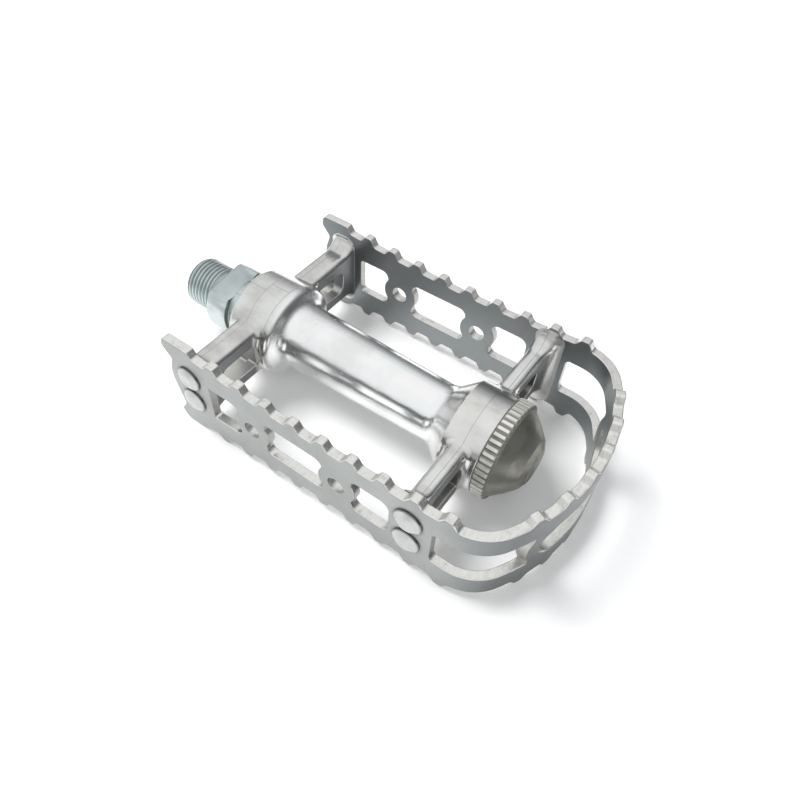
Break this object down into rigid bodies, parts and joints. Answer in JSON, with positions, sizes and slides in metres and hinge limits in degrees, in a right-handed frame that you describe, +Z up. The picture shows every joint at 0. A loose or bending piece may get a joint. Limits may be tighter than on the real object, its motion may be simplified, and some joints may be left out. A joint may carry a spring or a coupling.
{
  "type": "bicycle pedal",
  "caption": "Road bicycle pedal: polished cast body on a threaded spindle, toothed one-piece cage looped round the outer end, knurled dust cap.",
  "frame": {"origin": "on the spindle's axis at the collar's shoulder that seats against the crank", "axes": "+X along the spindle from the crank outwards to the dust cap, +Y towards the far plate of the picture, +Z up"},
  "size_m": [0.1254, 0.068, 0.0299],
  "materials": {
    "cage_alloy": "satin anodised",
    "body_alloy": "polished casting",
    "rivet_steel": "satin",
    "spindle_steel": "zinc plated",
    "bearing_steel": "ground",
    "ball_steel": "polished",
    "hardware_steel": "zinc plated",
    "cap_plate": "dull nickel plate"
  },
  "bodies": {
    "platform": {"cage": "cage_alloy", "body": "body_alloy", "cage_rivets": "rivet_steel", "inboard_cup": "bearing_steel", "outboard_cup": "bearing_steel", "dust_cap": "cap_plate"},
    "spindle_set": {"spindle": "spindle_steel", "adjusting_cone": "bearing_steel", "keyed_washer": "hardware_steel", "lock_nut": "hardware_steel"},
    "inboard_ball_row": {"inboard_ball_01": "ball_steel", "inboard_ball_02": "ball_steel", "inboard_ball_03": "ball_steel", "inboard_ball_04": "ball_steel", "inboard_ball_05": "ball_steel", "inboard_ball_06": "ball_steel", "inboard_ball_07": "ball_steel", "inboard_ball_08": "ball_steel", "inboard_ball_09": "ball_steel", "inboard_ball_10": "ball_steel", "inboard_ball_11": "ball_steel"},
    "outboard_ball_row": {"outboard_ball_01": "ball_steel", "outboard_ball_02": "ball_steel", "outboard_ball_03": "ball_steel", "outboard_ball_04": "ball_steel", "outboard_ball_05": "ball_steel", "outboard_ball_06": "ball_steel", "outboard_ball_07": "ball_steel", "outboard_ball_08": "ball_steel", "outboard_ball_09": "ball_steel", "outboard_ball_10": "ball_steel", "outboard_ball_11": "ball_steel"}
  },
  "joints": [
    {"name": "spindle_spin", "type": "hinge", "parent": "platform", "child": "spindle_set", "pos_m": [0.05, 0, 0], "axis": [1, 0, 0], "continuous": true},
    {"name": "inboard_balls_roll", "type": "hinge", "parent": "platform", "child": "inboard_ball_row", "pos_m": [0.0168, 0, 0], "axis": [1, 0, 0], "continuous": true},
    {"name": "outboard_balls_roll", "type": "hinge", "parent": "platform", "child": "outboard_ball_row", "pos_m": [0.084, 0, 0], "axis": [1, 0, 0], "continuous": true}
  ],
  "couplings": [
    {"joint": "inboard_balls_roll", "follows": "spindle_spin", "ratio": 0.4065},
    {"joint": "outboard_balls_roll", "follows": "spindle_spin", "ratio": 0.4065}
  ]
}
